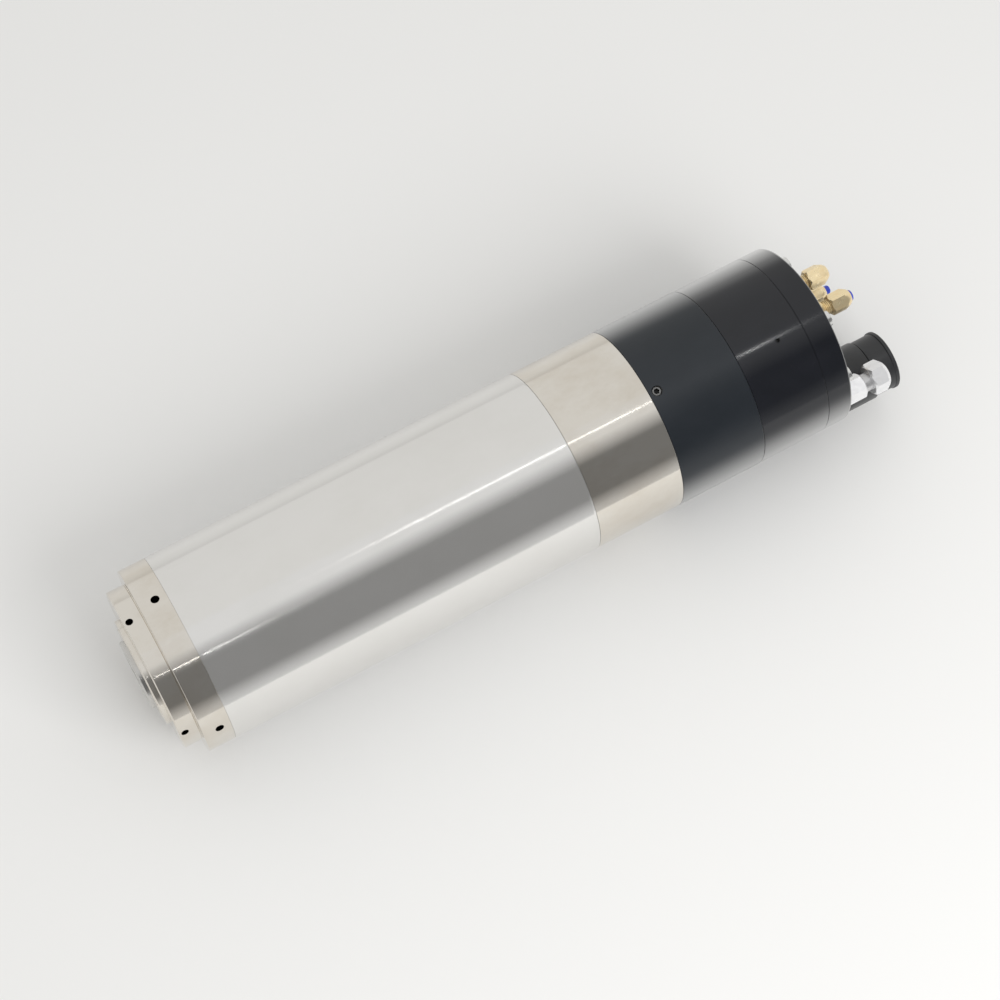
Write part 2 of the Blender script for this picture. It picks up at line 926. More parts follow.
FINISHES = {
    Slot.GROUND_STEEL: TurnedMetal(
        (0.80, 0.79, 0.77), (0.74, 0.73, 0.70), 0.13, spread=0.008, metallic=0.905
    ),
    Slot.POLISHED_STEEL: TurnedMetal(
        (0.78, 0.745, 0.685), (0.69, 0.635, 0.555), 0.11, spread=0.006, grain=0.4, cloud_share=0.8
    ),
    Slot.SHAFT_STEEL: TurnedMetal((0.62, 0.61, 0.59), (0.52, 0.51, 0.49), 0.24, grain=0.4),
    Slot.BEARING_STEEL: TurnedMetal(
        (0.72, 0.72, 0.73), (0.66, 0.66, 0.67), 0.12, spread=0.03, grain=0.2, cloud_share=0.2
    ),
    Slot.CAGE_RESIN: Moulded((0.36, 0.21, 0.09), (0.27, 0.15, 0.06), 0.5, 700.0, 3e-5),
    Slot.SPRING_STEEL: SmallMetal((0.30, 0.30, 0.32), (0.20, 0.19, 0.19), 0.38),
    Slot.JACKET_ALUMINIUM: TurnedMetal(
        (0.74, 0.75, 0.76), (0.63, 0.64, 0.65), 0.33, spread=0.06, grain=0.3
    ),
    Slot.LAMINATION: Sheets((0.34, 0.35, 0.38), (0.08, 0.08, 0.09)),
    Slot.COPPER: Windings((0.62, 0.25, 0.10), (0.34, 0.12, 0.05)),
    Slot.RUBBER: Moulded((0.018, 0.018, 0.019), (0.04, 0.04, 0.04), 0.6, 2600.0, 8e-6),
    Slot.BLACK_BARREL: Anodised((0.007, 0.011, 0.016), (0.011, 0.015, 0.021), 0.36),
    Slot.BLACK_GLOSS: Anodised((0.005, 0.006, 0.009), (0.008, 0.009, 0.013), 0.135),
    Slot.SCREW_STEEL: SmallMetal((0.82, 0.82, 0.81), (0.66, 0.66, 0.64), 0.26, 900.0),
    Slot.BRASS: SmallMetal(
        (0.96, 0.80, 0.51), (0.91, 0.70, 0.40), 0.29, 300.0, hole=(0.42, 0.17, 0.03), metallic=0.84
    ),
    Slot.BLUE_PLUG: Moulded((0.03, 0.06, 0.50), (0.06, 0.11, 0.58), 0.32, 1800.0, 4e-6, 0.15),
    Slot.NICKEL: SmallMetal((0.93, 0.93, 0.94), (0.87, 0.87, 0.89), 0.32, 300.0, metallic=0.75),
    Slot.CONNECTOR_BLACK: Moulded((0.020, 0.021, 0.023), (0.034, 0.034, 0.038), 0.34, 1900.0, 6e-6),
    Slot.CONNECTOR_RESIN: Moulded((0.03, 0.03, 0.03), (0.05, 0.05, 0.05), 0.48),
    Slot.PIN_GOLD: SmallMetal((0.90, 0.68, 0.28), (0.78, 0.55, 0.22), 0.16, 700.0),
}


class Paintbox:
    """Makes each finish once and hands it to the pieces."""

    def __init__(self) -> None:
        """Start empty."""
        self._made: dict[Slot, bpy.types.Material] = {}

    def dress(self, obj: bpy.types.Object, slot: Slot) -> None:
        """Give an object the one material of its slot.

        Args:
            obj: a piece or a CAD node.
            slot: its slot.
        """
        if slot not in self._made:
            self._made[slot] = FINISHES[slot].make(slot.value)
        obj.data.materials.clear()
        obj.data.materials.append(self._made[slot])


@dataclass
class Piece:
    """A finished piece: what it is made of, what it rides on and which nodes it stands for."""

    name: str
    mesh: Mesh
    slot: Slot
    nodes: tuple[str, ...]
    body: Body = Body.HOUSING

    def mount(self, paints: Paintbox) -> None:
        """Put the piece on its body, in its finish.

        Args:
            paints: the finishes.
        """
        obj = new_object(self.name, self.mesh)
        paints.dress(obj, self.slot)
        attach(obj, self.body.value)
        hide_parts(*self.nodes)
        log.info("%s: %d faces on %s", self.name, len(self.mesh.polygons), self.body.value)


def turned_piece(
    name: str,
    node: str,
    slot: Slot,
    corners: Sequence[Corner],
    cutters: Sequence[Mesh] = (),
    body: Body = Body.HOUSING,
) -> Piece:
    """Turn an outline about the spindle's axis, cut its holes and set its directions.

    Args:
        name: the piece's name.
        node: the CAD node that it stands for.
        slot: material slot.
        corners: closed outline.
        cutters: tools to cut out of it.
        body: the body that it rides on.

    Returns:
        The piece, ready to mount.
    """
    outline = Outline(corners)
    mesh = turned_mesh(name, outline)
    if cutters:
        mesh = drilled(mesh, cutters)
        mesh.shade_smooth()
    mesh.set_sharp_from_angle(angle=SMOOTH_LIMIT)
    set_outline_normals(mesh, outline)
    return Piece(name, mesh, slot, (node,), body)


def bar_piece(
    name: str,
    node: str,
    slot: Slot,
    rings: Sequence[Ring],
    sides: int,
    places: Sequence[Matrix],
    body: Body = Body.HOUSING,
) -> Piece:
    """Skin the same rings at each of some places, as one piece.

    Args:
        name: the piece's name.
        node: the CAD node that it stands for.
        slot: material slot.
        rings: closed run of rings about X.
        sides: how many sides the bar has.
        places: where it stands, once or several times.
        body: the body that it rides on.

    Returns:
        The piece, ready to mount.
    """
    meshes = [bar_mesh(name, rings, sides, place) for place in places]
    return Piece(name, joined(name, meshes), slot, (node,), body)


# ------------------------------------------------------------- sub-assemblies
@dataclass
class Nose:
    """Cover, slinger and clamp ring at the tool end."""

    cover_x: float = 5.0
    ring_x: float = 15.0
    sleeve_x: float = SLEEVE_X
    cover_r: float = 42.85
    face_step: float = 0.35
    groove: float = 0.35
    bearing_r: float = 27.5
    spigot_end_x: float = 32.0
    race_recess_x: float = 30.5
    race_recess_r: float = 23.25
    ring_r: float = RING_R
    spigot_r: float = SPIGOT_R
    slinger_r: float = 28.5
    slinger_x: float = 2.2
    slinger_end_x: float = 13.0
    slinger_step: float = 0.4
    shaft_r: float = 18.3
    labyrinth: float = 0.4
    spanner_angle: float = 76.4
    spanner_holes: int = 4
    cover_drill: Drill = Drill(1.7, 6.0)
    cover_hole_x: float = 8.0
    ring_drill: Drill = Drill(2.0, 7.0)
    ring_hole_x: float = 23.5

    def _holes(self, drill: Drill, x: float, surface_r: float) -> list[Mesh]:
        """Radial spanner holes round the nose."""
        return drill.tools(spaced(x, self.spanner_angle, surface_r, self.spanner_holes))

    def cover(self) -> Piece:
        """Stepped cover with spanner holes and a groove before the clamp ring."""
        r = self.cover_r
        face = self.cover_x + self.face_step
        pocket_r = self.slinger_r + self.labyrinth
        pocket_x = self.slinger_end_x + self.labyrinth
        bore_r = self.shaft_r + self.labyrinth
        return turned_piece(
            "nose_cover",
            "front_cover",
            Slot.POLISHED_STEEL,
            (
                Corner(self.cover_x, pocket_r, 0.3),
                Corner(self.cover_x, r - 1.6, 0.15),
                Corner(face, r - 1.2, 0.15),
                Corner(face, r, 0.45),
                Corner(self.ring_x - 0.5, r, 0.2),
                Corner(self.ring_x - 0.3, r - self.groove, 0.1),
                Corner(self.ring_x, r - self.groove),
                Corner(self.ring_x, self.bearing_r),
                Corner(self.spigot_end_x, self.bearing_r),
                Corner(self.spigot_end_x, self.race_recess_r),
                Corner(self.race_recess_x, self.race_recess_r),
                Corner(self.race_recess_x, bore_r),
                Corner(pocket_x, bore_r),
                Corner(pocket_x, pocket_r),
            ),
            self._holes(self.cover_drill, self.cover_hole_x, r),
        )

    def slinger(self) -> Piece:
        """Ring that turns inside the cover."""
        r = self.slinger_r
        bore_r = self.shaft_r + FIT
        face = self.slinger_x + self.slinger_step
        return turned_piece(
            "nose_slinger",
            "slinger",
            Slot.POLISHED_STEEL,
            (
                Corner(self.slinger_x, bore_r, 0.2),
                Corner(self.slinger_x, r - 4.0, 0.2),
                Corner(face, r - 3.6, 0.2),
                Corner(face, r, 0.6),
                Corner(self.slinger_end_x, r, 0.2),
                Corner(self.slinger_end_x, bore_r),
            ),
            body=Body.SHAFT,
        )

    def clamp_ring(self) -> Piece:
        """Ring flush with the body, with its spanner holes."""
        bore_r = self.spigot_r + FIT
        return turned_piece(
            "nose_clamp_ring",
            "nose_ring",
            Slot.POLISHED_STEEL,
            (
                Corner(self.ring_x, bore_r),
                Corner(self.ring_x, self.ring_r, 0.6),
                Corner(self.sleeve_x - FIT, self.ring_r, 0.18),
                Corner(self.sleeve_x - FIT, bore_r),
            ),
            self._holes(self.ring_drill, self.ring_hole_x, self.ring_r),
        )

    def pieces(self) -> list[Piece]:
        """The rings at the nose."""
        return [self.cover(), self.slinger(), self.clamp_ring()]


@dataclass
class Barrel:
    """Ground sleeve and the rings behind it."""

    sleeve_x: float = SLEEVE_X
    rear_x: float = REAR_RING_X
    cylinder_x: float = CYLINDER_X
    services_x: float = SERVICES_X
    cap_x: float = CAP_X
    ring_r: float = RING_R
    body_r: float = 50.0
    lead_in: float = 1.2
    lip_r: float = SPIGOT_R
    lip: float = 3.5
    joint_r: float = 44.0
    joint_start_x: float = 228.0
    joint_end_x: float = 294.6
    motor_bore_r: float = 35.5
    web_x: float = 240.0
    web_bore_r: float = 19.8
    bearing_x: float = 243.0
    bearing_r: float = 23.52
    cover_x: float = 270.0
    cylinder_nose_x: float = 276.0
    cylinder_nose_r: float = 30.0
    rod_bore_r: float = 7.05
    piston_bore_r: float = 36.05
    piston_bore_x: float = 301.6
    services_bore_r: float = 37.5
    services_floor_x: float = 340.9
    set_screws_round: int = 3
    set_screw_x: float = 289.0
    set_screw_angle: float = 102.1
    set_screw_sunk: float = 0.8
    set_screw_sides: int = 48
    set_screw_drill: Drill = Drill(2.52, 5.75, ease=0.3)
    dimple: Drill = Drill(1.0, 2.6, ease=0.2)
    dimple_x: float = 23.7
    dimple_angle: float = 107.9

    def sleeve(self) -> Piece:
        """Long ground sleeve with tapered ends."""
        bore_r = self.lip_r + FIT
        end = self.rear_x - SEAM
        return turned_piece(
            "ground_sleeve",
            "housing_sleeve",
            Slot.GROUND_STEEL,
            (
                Corner(self.sleeve_x, bore_r),
                Corner(self.sleeve_x, self.ring_r, 0.05),
                Corner(self.sleeve_x + self.lead_in, self.body_r, 3.0),
                Corner(self.rear_x - self.lead_in, self.body_r, 3.0),
                Corner(end, self.ring_r, 0.12),
                Corner(end, self.joint_r),
                Corner(self.sleeve_x + self.lip, self.joint_r),
                Corner(self.sleeve_x + self.lip, bore_r),
            ),
        )

    def bearing_housing(self) -> Piece:
        """Warm polished ring with its two spigots."""
        end = self.cylinder_x - SEAM
        pocket_r = self.cylinder_nose_r + FIT
        return turned_piece(
            "rear_steel_ring",
            "rear_bearing_housing",
            Slot.POLISHED_STEEL,
            (
                Corner(self.joint_start_x, self.motor_bore_r),
                Corner(self.joint_start_x, self.joint_r - FIT),
                Corner(self.rear_x, self.joint_r - FIT),
                Corner(self.rear_x, self.ring_r, 0.12),
                Corner(end, self.ring_r, 0.2),
                Corner(end, self.joint_r),
                Corner(self.joint_end_x, self.joint_r),
                Corner(self.joint_end_x, pocket_r),
                Corner(self.cover_x, pocket_r),
                Corner(self.cover_x, self.bearing_r),
                Corner(self.bearing_x, self.bearing_r),
                Corner(self.bearing_x, self.web_bore_r),
                Corner(self.web_x, self.web_bore_r),
                Corner(self.web_x, self.motor_bore_r),
            ),
        )

    def _set_screw_places(self, radius: float) -> list[Matrix]:
        """Frames round the barrel at the set screws."""
        return spaced(self.set_screw_x, self.set_screw_angle, radius, self.set_screws_round)

    def cylinder(self) -> Piece:
        """First black ring, with the seats of its set screws."""
        end = self.services_x - SEAM
        return turned_piece(
            "black_cylinder",
            "cylinder_barrel",
            Slot.BLACK_BARREL,
            (
                Corner(self.cylinder_nose_x, self.rod_bore_r),
                Corner(self.cylinder_nose_x, self.cylinder_nose_r),
                Corner(self.joint_end_x, self.cylinder_nose_r),
                Corner(self.joint_end_x, self.joint_r + FIT),
                Corner(self.cylinder_x, self.joint_r + FIT),
                Corner(self.cylinder_x, self.ring_r, 0.3),
                Corner(end, self.ring_r, 0.25),
                Corner(end, self.piston_bore_r),
                Corner(self.piston_bore_x, self.piston_bore_r),
                Corner(self.piston_bore_x, self.rod_bore_r),
            ),
            self.set_screw_drill.tools(self._set_screw_places(self.ring_r)),
        )

    def set_screws(self) -> Piece:
        """Socket set screws a little below the surface."""
        rings = [
            Ring(-5.0, 0.0),
            Ring(-5.0, 1.6),
            Ring(-4.3, 2.48),
            Ring(-0.35, 2.48),
            Ring(0.0, 2.15, shade=0.75),
            Ring(0.0, 1.5, shade=0.4),
            hexed(-0.15, 1.3, shade=1.0),
            hexed(-2.2, 1.25, shade=1.0),
            Ring(-2.6, 0.0),
        ]
        places = self._set_screw_places(self.ring_r - self.set_screw_sunk)
        return bar_piece(
            "barrel_set_screws",
            "set_screws",
            Slot.SCREW_STEEL,
            rings,
            self.set_screw_sides,
            places,
        )

    def services(self) -> Piece:
        """Second black ring, hollow towards the rear cap."""
        end = self.cap_x - SEAM
        dimple_place = radial(self.services_x + self.dimple_x, self.dimple_angle, self.ring_r)
        return turned_piece(
            "black_services_ring",
            "services_housing",
            Slot.BLACK_GLOSS,
            (
                Corner(self.services_x, 0.0),
                Corner(self.services_x, self.ring_r, 0.25),
                Corner(end, self.ring_r, 0.22),
                Corner(end, self.services_bore_r),
                Corner(self.services_floor_x, self.services_bore_r),
                Corner(self.services_floor_x, 0.0),
            ),
            self.dimple.tools([dimple_place]),
        )

    def pieces(self) -> list[Piece]:
        """The barrel from front to back."""
        return [
            self.sleeve(),
            self.bearing_housing(),
            self.cylinder(),
            self.set_screws(),
            self.services(),
        ]


@dataclass
class RearCap:
    """Rear cap and the socket screws that hold it."""

    cap_x: float = CAP_X
    face_x: float = FACE_X
    ring_r: float = RING_R
    spigot_r: float = 37.48
    spigot: float = 4.0
    edge: float = 1.5
    screw_circle_r: float = 43.8
    screw_angles: tuple[float, ...] = (5.0, 58.0, 109.6, 152.0, 259.0, 312.0)
    head_r: float = 4.25
    head_length: float = 5.0
    shank_r: float = 2.5
    shank_x: float = 320.9
    socket_r: float = 2.0
    socket_depth: float = 2.5
    sunk: float = 2.6
    seat_gap: float = 0.25
    seat_sides: int = 48
    screw_sides: int = 72

    def _places(self) -> list[Matrix]:
        """Where the screws stand, each rolled to face out."""
        places = []
        for angle in self.screw_angles:
            y = self.screw_circle_r * math.cos(math.radians(angle))
            z = self.screw_circle_r * math.sin(math.radians(angle))
            places.append(beside(y, z, roll=angle))
        return places

    def cap(self) -> Piece:
        """Rear cap with sunk seats for the screw heads."""
        seat_r = self.head_r + self.seat_gap
        seat = [
            Ring(self.face_x - self.sunk, 0.0),
            Ring(self.face_x - self.sunk, seat_r),
            Ring(self.face_x - 0.25, seat_r),
            Ring(self.face_x + 1.0, self.head_r + 1.5),
            Ring(self.face_x + 1.0, 0.0),
        ]
        return turned_piece(
            "black_rear_cap",
            "rear_cap",
            Slot.BLACK_GLOSS,
            (
                Corner(self.cap_x - self.spigot, 0.0),
                Corner(self.cap_x - self.spigot, self.spigot_r),
                Corner(self.cap_x, self.spigot_r),
                Corner(self.cap_x, self.ring_r, 0.22),
                Corner(self.face_x, self.ring_r, self.edge),
                Corner(self.face_x, 0.0),
            ),
            [bar_mesh("seat", seat, self.seat_sides, place) for place in self._places()],
        )

    def screws(self) -> Piece:
        """Socket head cap screws."""
        head = self.face_x - self.sunk
        top = head + self.head_length
        rings = [
            Ring(self.shank_x, 0.0),
            Ring(self.shank_x, 2.0),
            Ring(self.shank_x + 0.7, self.shank_r),
            Ring(head, self.shank_r),
            Ring(head, self.head_r - 0.1),
            Ring(head + 0.1, self.head_r),
            Ring(top - 0.5, self.head_r),
            Ring(top - 0.18, self.head_r - 0.15),
            Ring(top, self.head_r - 0.5),
            Ring(top, 2.55),
            hexed(top - 0.35, self.socket_r + 0.05, shade=1.0),
            hexed(top - self.socket_depth, self.socket_r, shade=1.0),
            Ring(top - 3.2, 0.0),
        ]
        return bar_piece(
            "rear_cap_screws",
            "cap_screws",
            Slot.SCREW_STEEL,
            rings,
            self.screw_sides,
            self._places(),
        )

    def pieces(self) -> list[Piece]:
        """Cap and screws."""
        return [self.cap(), self.screws()]


@dataclass(frozen=True)
class UnionSeat:
    """Where one brass union stands, its sizes, and how far its plug stands out."""

    y: float
    z: float
    flats: float
    tube_r: float
    roll: float
    proud: float


@dataclass
class Unions:
    """Three brass compression unions closed with blue plugs."""

    face_x: float = FACE_X
    root_x: float = CAP_X
    seats: tuple[UnionSeat, ...] = (
        UnionSeat(14.413, 26.880, 10.3, 3.0, 12.0, 0.15),
        UnionSeat(-6.088, 33.501, 10.3, 3.0, 38.0, 1.4),
        UnionSeat(11.682, 9.803, 9.0, 2.3, 22.0, 2.8),
    )
    way_r: float = 2.0
    root_r: float = 4.2
    hexagon: float = 4.6
    neck: float = 4.6
    neck_r: float = 3.9
    neck_in_nut: float = 7.0
    pitch: float = 0.9
    thread_depth: float = 0.38
    nut: float = 12.0
    plug_edge: float = 1.1
    plug_steps: int = 6
    sides: int = 96
    plug_sides: int = 64

    @property
    def nut_x(self) -> float:
        """Station of the nuts' foot."""
        return self.face_x + self.hexagon + self.neck

    def _body(self, seat: UnionSeat, place: Matrix) -> Mesh:
        """Hexagonal base with a threaded neck and a drilled way through.

        Args:
            seat: the union's sizes.
            place: where it stands.

        Returns:
            The mesh in metres.
        """
        start = self.face_x
        end = start + self.hexagon
        flat = seat.flats / 2.0
        r = self.neck_r
        rings = [
            Ring(self.root_x, self.way_r),
            Ring(self.root_x, self.root_r),
            Ring(start, self.root_r),
            Ring(start, flat - 0.1),
            hexed(start + 0.25, flat - 0.15, slope=0.35),
            hexed(end - 0.25, flat - 0.15, slope=-0.5),
            Ring(end, flat - 0.35),
            Ring(end, r + 0.1),
        ]
        x = end + 0.2
        while x < end + self.neck - 0.4:
            rings += [Ring(x, r - self.thread_depth), Ring(x + 0.4, r), Ring(x + 0.52, r)]
            x += self.pitch
        rings += [
            Ring(self.nut_x, r - 0.2),
            Ring(self.nut_x + self.neck_in_nut, r - 0.2),
            Ring(self.nut_x + self.neck_in_nut, self.way_r),
        ]
        return bar_mesh("union_body", rings, self.sides, place)

    def _nut(self, seat: UnionSeat, place: Matrix) -> Mesh:
        """Nut with a chamfered foot and a domed end.

        Args:
            seat: the union's sizes.
            place: where it stands.

        Returns:
            The mesh in metres.
        """
        start = self.nut_x
        end = start + self.nut
        flat = seat.flats / 2.0
        bore = seat.tube_r + FIT
        rings = [
            Ring(start, self.neck_r + FIT),
            Ring(start, flat - 0.25),
            hexed(start + 0.35, flat - 0.12, slope=0.6),
            hexed(end - 3.1, flat - 0.12, slope=-1.1),
            Ring(end - 1.7, flat - 0.55),
            Ring(end - 0.7, flat - 1.15),
            Ring(end - 0.12, flat - 1.75),
            Ring(end, bore + 0.35),
            Ring(end - 0.3, bore),
            Ring(start + self.neck_in_nut, bore),
            Ring(start + self.neck_in_nut, self.neck_r + FIT),
        ]
        return bar_mesh("union_nut", rings, self.sides, place)

    def _plug(self, seat: UnionSeat, place: Matrix) -> Mesh:
        """Blue plug with a rounded tip.

        Args:
            seat: the union's sizes.
            place: where it stands.

        Returns:
            The mesh in metres.
        """
        start = self.nut_x + self.neck_in_nut
        end = self.nut_x + self.nut + seat.proud
        r = seat.tube_r
        soft = min(self.plug_edge, seat.proud)
        rings = [Ring(start, 0.0), Ring(start, r), Ring(end - soft, r)]
        for k in range(1, self.plug_steps + 1):
            turn = math.radians(90.0 / self.plug_steps * k)
            rings.append(
                Ring(end - soft + soft * math.sin(turn), r - soft + soft * math.cos(turn))
            )
        rings.append(Ring(end, 0.0))
        return bar_mesh("union_plug", rings, self.plug_sides, place)

    def _each(
        self, name: str, node: str, slot: Slot, make: Callable[[UnionSeat, Matrix], Mesh]
    ) -> Piece:
        """Make one piece from the same part of all three unions.

        Args:
            name: the piece's name.
            node: the CAD node that it stands for.
            slot: material slot.
            make: the method that makes the part.

        Returns:
            The piece, ready to mount.
        """
        meshes = [make(seat, beside(seat.y, seat.z, seat.roll)) for seat in self.seats]
        return Piece(name, joined(name, meshes), slot, (node,))

    def pieces(self) -> list[Piece]:
        """Bodies, nuts and plugs."""
        return [
            self._each("brass_union_bodies", "union_bodies", Slot.BRASS, self._body),
            self._each("brass_union_nuts", "union_nuts", Slot.BRASS, self._nut),
            self._each("blue_union_plugs", "union_plugs", Slot.BLUE_PLUG, self._plug),
        ]


@dataclass
class AirFitting:
    """Bright hexagonal fitting for the release air."""

    face_x: float = FACE_X
    y: float = -41.001
    z: float = 2.005
    roll: float = 14.0
    root: float = 10.0
    root_r: float = 3.98
    way_r: float = 1.6
    flats: float = 12.3
    hexagon: float = 16.0
    waist: float = 12.0
    port_r: float = 4.0
    port_floor: float = 14.5
    nut_flats: float = 15.4
    nut: float = 10.2
    nut_roll: float = 10.0
    sides: int = 120

    def body(self) -> Piece:
        """Hexagonal body with a turned waist."""
        start = self.face_x
        end = start + self.hexagon
        flat = self.flats / 2.0
        rings = [
            Ring(start - self.root, self.way_r),
            Ring(start - self.root, self.root_r),
            Ring(start, self.root_r),
            Ring(start, flat - 0.2),
            hexed(start + 0.3, flat - 0.12, slope=0.5),
            hexed(start + 11.4, flat - 0.12, slope=-0.5),
            Ring(start + 11.9, flat - 0.5),
            Ring(start + self.waist, flat - 1.3, shade=0.35),
            Ring(end, flat - 1.3),
            Ring(end, self.port_r),
            Ring(start + self.port_floor, self.port_r),
            Ring(start + self.port_floor, self.way_r),
        ]
        place = beside(self.y, self.z, self.roll)
        return bar_piece(
            "air_fitting_body", "fitting_body", Slot.NICKEL, rings, self.sides, [place]
        )

    def cap_nut(self) -> Piece:
        """Larger nut with arcs where its cone cuts the flats."""
        start = self.face_x + self.hexagon
        end = start + self.nut
        flat = self.nut_flats / 2.0
        rings = [
            Ring(start, self.port_r),
            Ring(start, flat - 0.3),
            hexed(start + 0.4, flat - 0.12, slope=0.7),
            hexed(end - 2.0, flat - 0.12, slope=-0.7),
            Ring(end - 1.2, flat - 0.6),
            Ring(end - 0.4, flat - 1.5),
            Ring(end, flat - 2.2),
            Ring(end, self.port_r + 0.5),
            Ring(end - 0.4, self.port_r),
        ]
        place = beside(self.y, self.z, self.roll + self.nut_roll)
        return bar_piece(
            "air_fitting_nut", "fitting_nut", Slot.NICKEL, rings, self.sides, [place]
        )

    def pieces(self) -> list[Piece]:
        """Body and nut."""
        return [self.body(), self.cap_nut()]


@dataclass
class Connector:
    """Round power connector and its dust cap."""

    face_x: float = FACE_X
    root_x: float = CAP_X
    y: float = -26.537
    z: float = -19.950
    root_r: float = 12.0
    insert_r: float = 10.0
    shell_r: float = 16.5
    groove_r: float = 15.8
    body_r: float = 16.3
    shell_end_x: float = 410.5
    socket_r: float = 12.5
    socket_floor_x: float = 392.0
    cap_x: float = 410.8
    cap_r: float = 15.6
    plug: float = 4.0
    plug_gap: float = 0.2
    plug_wall: float = 2.5
    rim_x: float = 422.0
    rim_r: float = 16.3
    end_x: float = 424.0
    dish: float = 0.35
    teeth: int = 90
    tooth: float = 0.12
    shell_sides: int = 160
    cap_sides: int = 180

    def shell(self) -> Piece:
        """Shell with a flange, a grooved waist and a deep socket."""
        face, end, r = self.face_x, self.shell_end_x, self.shell_r
        rings = [
            Ring(self.root_x, self.insert_r),
            Ring(self.root_x, self.root_r),
            Ring(face, self.root_r),
            Ring(face, r - 0.3),
            Ring(face + 0.3, r),
            Ring(face + 3.6, r),
            Ring(face + 3.9, r - 0.3),
            Ring(face + 4.1, self.groove_r),
            Ring(face + 5.3, self.groove_r),
            Ring(face + 5.6, self.body_r),
            Ring(end - 0.6, self.body_r),
            Ring(end - 0.15, r - 0.4),
            Ring(end, r - 0.8),
            Ring(end, self.socket_r + 0.4),
            Ring(end - 0.4, self.socket_r),
            Ring(self.socket_floor_x, self.socket_r),
            Ring(self.socket_floor_x, self.insert_r),
        ]
        return bar_piece(
            "connector_body",
            "connector_shell",
            Slot.CONNECTOR_BLACK,
            rings,
            self.shell_sides,
            [beside(self.y, self.z)],
        )

    def cap(self) -> Piece:
        """Dust cap with a fine toothed rim and a dished end, hollow inside."""
        plug = self.shell_end_x - self.plug
        plug_r = self.socket_r - self.plug_gap
        hollow_r = self.socket_r - self.plug_wall
        rim, rim_r, end = self.rim_x, self.rim_r, self.end_x
        rings = [
            Ring(plug, hollow_r),
            Ring(plug, self.socket_r - 0.4),
            Ring(self.shell_end_x - 3.7, plug_r),
            Ring(self.cap_x, plug_r),
            Ring(self.cap_x, self.cap_r - 0.3),
            Ring(self.cap_x + 0.3, self.cap_r),
            Ring(rim - 0.7, self.cap_r),
            Ring(rim - 0.3, self.cap_r + 0.1),
            Ring(rim, rim_r - self.tooth),
            Ring(rim + 0.15, rim_r, teeth=self.teeth, tooth=self.tooth),
            Ring(end - 0.4, rim_r, teeth=self.teeth, tooth=self.tooth),
            Ring(end - 0.1, rim_r - 0.3),
            Ring(end, rim_r - 0.7),
            Ring(end, rim_r - 2.4),
            Ring(end - self.dish, rim_r - 2.8),
            Ring(end - self.dish, 0.0),
            Ring(rim, 0.0),
            Ring(rim, hollow_r),
        ]
        return bar_piece(
            "connector_dust_cap",
            "dust_cap",
            Slot.CONNECTOR_BLACK,
            rings,
            self.cap_sides,
            [beside(self.y, self.z)],
            Body.DUST_CAP,
        )

    def pieces(self) -> list[Piece]:
        """Shell and cap."""
        return [self.shell(), self.cap()]


@dataclass
class InnerWorks:
    """Shaft, collet, bearings, motor, jacket and cylinder parts, which keep their CAD shapes."""

    frame: dict

    def dress(self, paints: Paintbox, shown_elsewhere: set[str]) -> None:
        """Give each remaining CAD node the finish of its slot.

        Args:
            paints: the finishes.
            shown_elsewhere: nodes that a piece of the scene stands for.
        """
        rows = self.frame["record"]["subparts"]
        slot_of = {row["node"]: Slot(row["material_slot"]) for row in rows}
        for node, obj in sorted(self.frame["nodes"].items()):
            if node not in shown_elsewhere:
                paints.dress(obj, slot_of[node])
                log.info("%s keeps its CAD shape, finish %s", node, slot_of[node].value)


# --------------------------------------------------------------------- studio
def area_lamp(name: str, size: Pair, power: float) -> bpy.types.Object:
    """Make a rectangular lamp.

    Args:
        name: its name.
        size: its length and width in metres.
        power: its power in watts.

    Returns:
        The lamp, still to be placed.
    """
    data = bpy.data.lights.new(name, "AREA")
    data.shape = "RECTANGLE"
    data.size, data.size_y = size
    data.energy = power
    return new_object(name, data)


@dataclass(frozen=True)
class Tube:
    """Narrow lamp from start to end, in metres, turned to aim, in millimetres."""

    name: str
    start: Place
    end: Place
    aim: Place
    power: float
    width: float = 0.006

    def hang(self) -> None:
        """Put the lamp into the scene."""
        start, end = Vector(self.start), Vector(self.end)
        along = (end - start).normalized()
        middle = (start + end) / 2.0
        back = middle - Vector(self.aim) * MM
        back = (back - along * back.dot(along)).normalized()
        obj = area_lamp(self.name, ((end - start).length, self.width), self.power)
        turn = Matrix((along, back.cross(along), back)).transposed()
        obj.matrix_world = Matrix.Translation(middle) @ turn.to_4x4()


